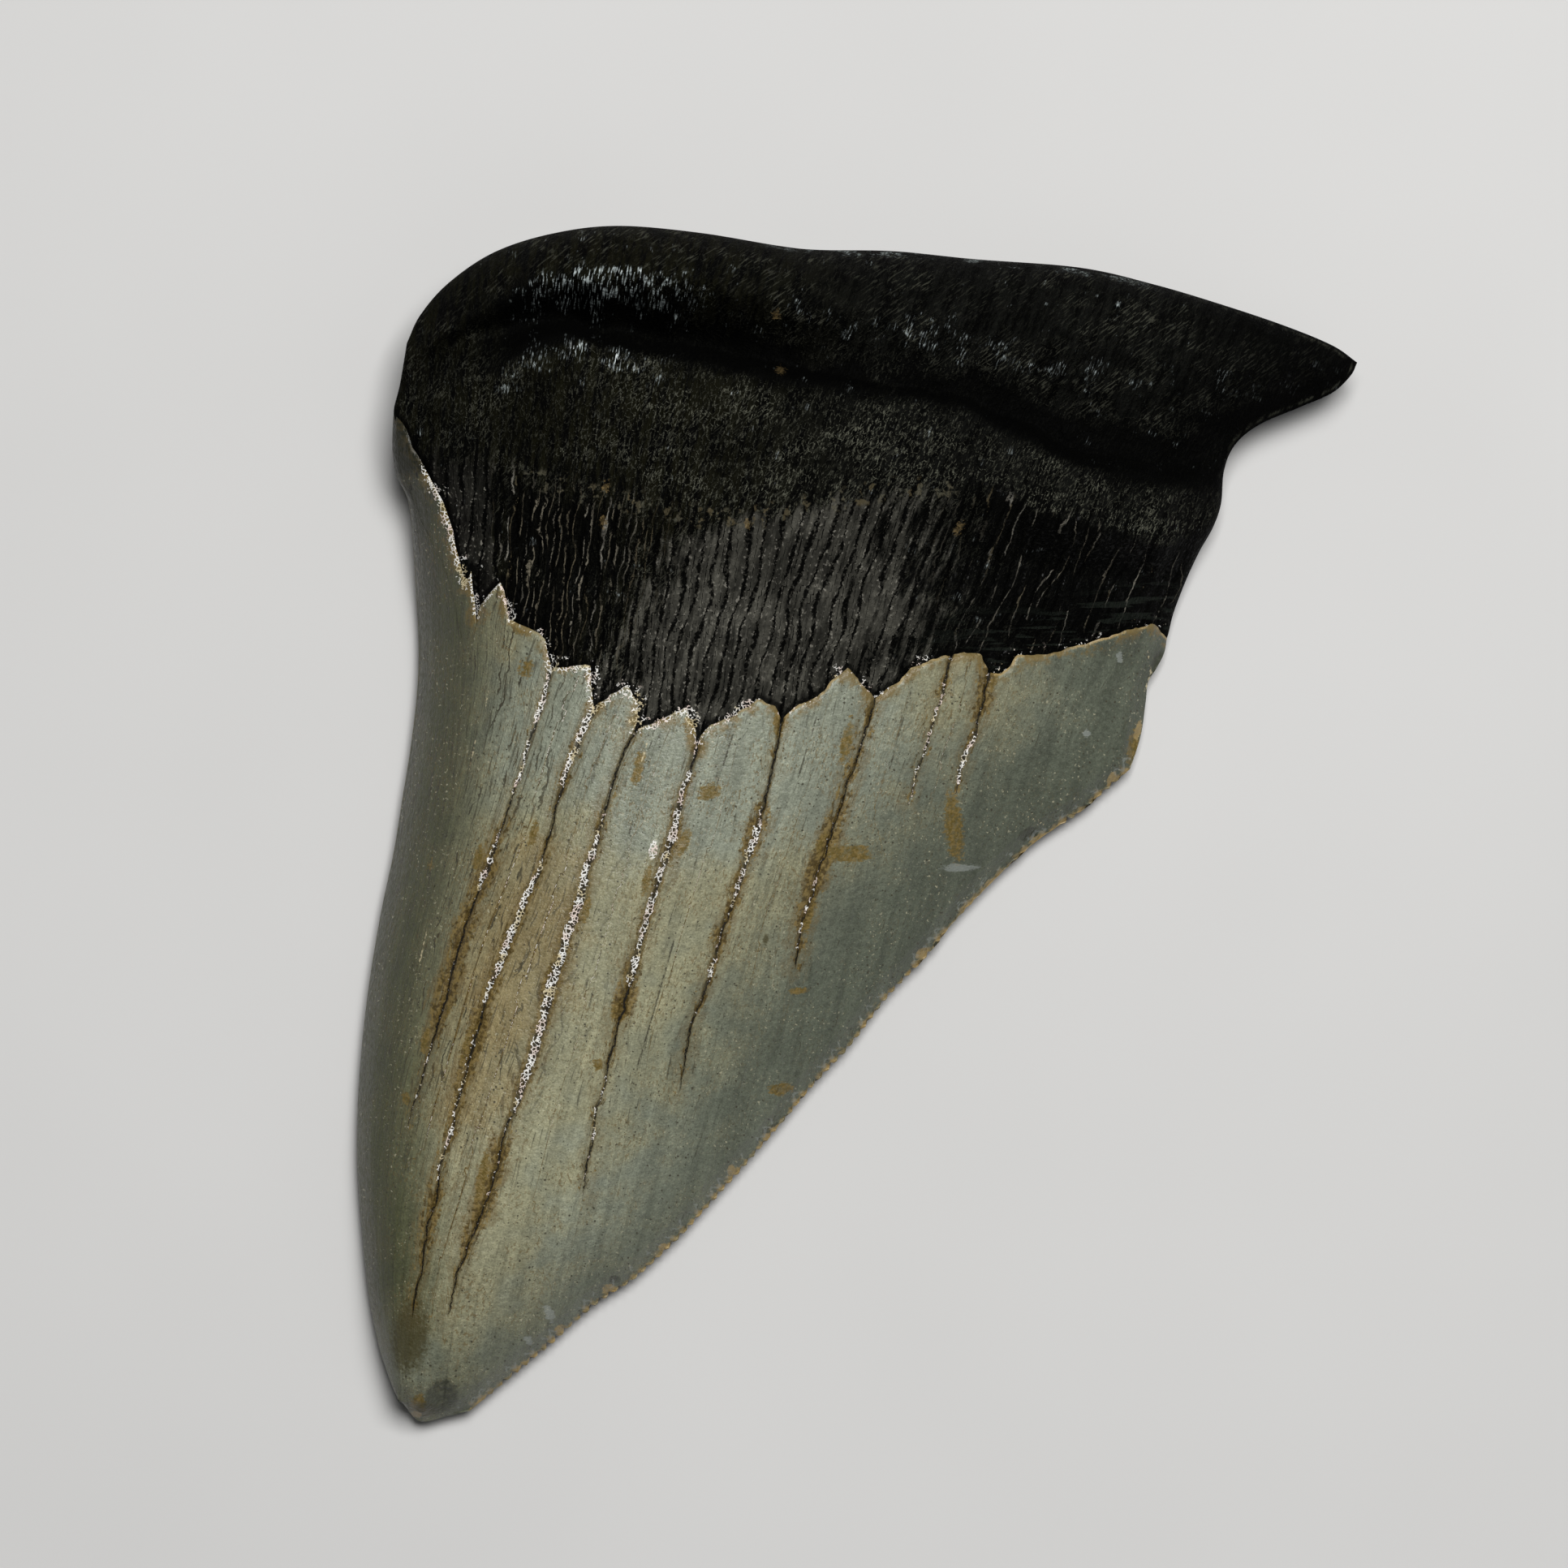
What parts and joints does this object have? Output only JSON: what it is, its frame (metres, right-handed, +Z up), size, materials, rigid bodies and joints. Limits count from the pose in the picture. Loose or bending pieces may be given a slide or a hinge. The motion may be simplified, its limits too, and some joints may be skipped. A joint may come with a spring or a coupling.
{
  "type": "fossil shark tooth",
  "caption": "Large triangular fossil shark tooth lying on its flat outer face: dark bony root with one long spur, grey-green enamel blade with lengthwise cracks and a finely serrated edge.",
  "frame": {"origin": "under the middle of the tooth's box, on the surface it lies on", "axes": "+X to the root's spur, +Y from the tip towards the root, +Z up out of the domed inner face"},
  "size_m": [0.0753, 0.09, 0.0177],
  "materials": {
    "enamel": "satin fossil enamel, grey-green with tan stains",
    "root_bone": "fibrous fossil bone, near black, low sheen"
  },
  "bodies": {
    "root": {"tooth": "enamel"}
  },
  "joints": []
}
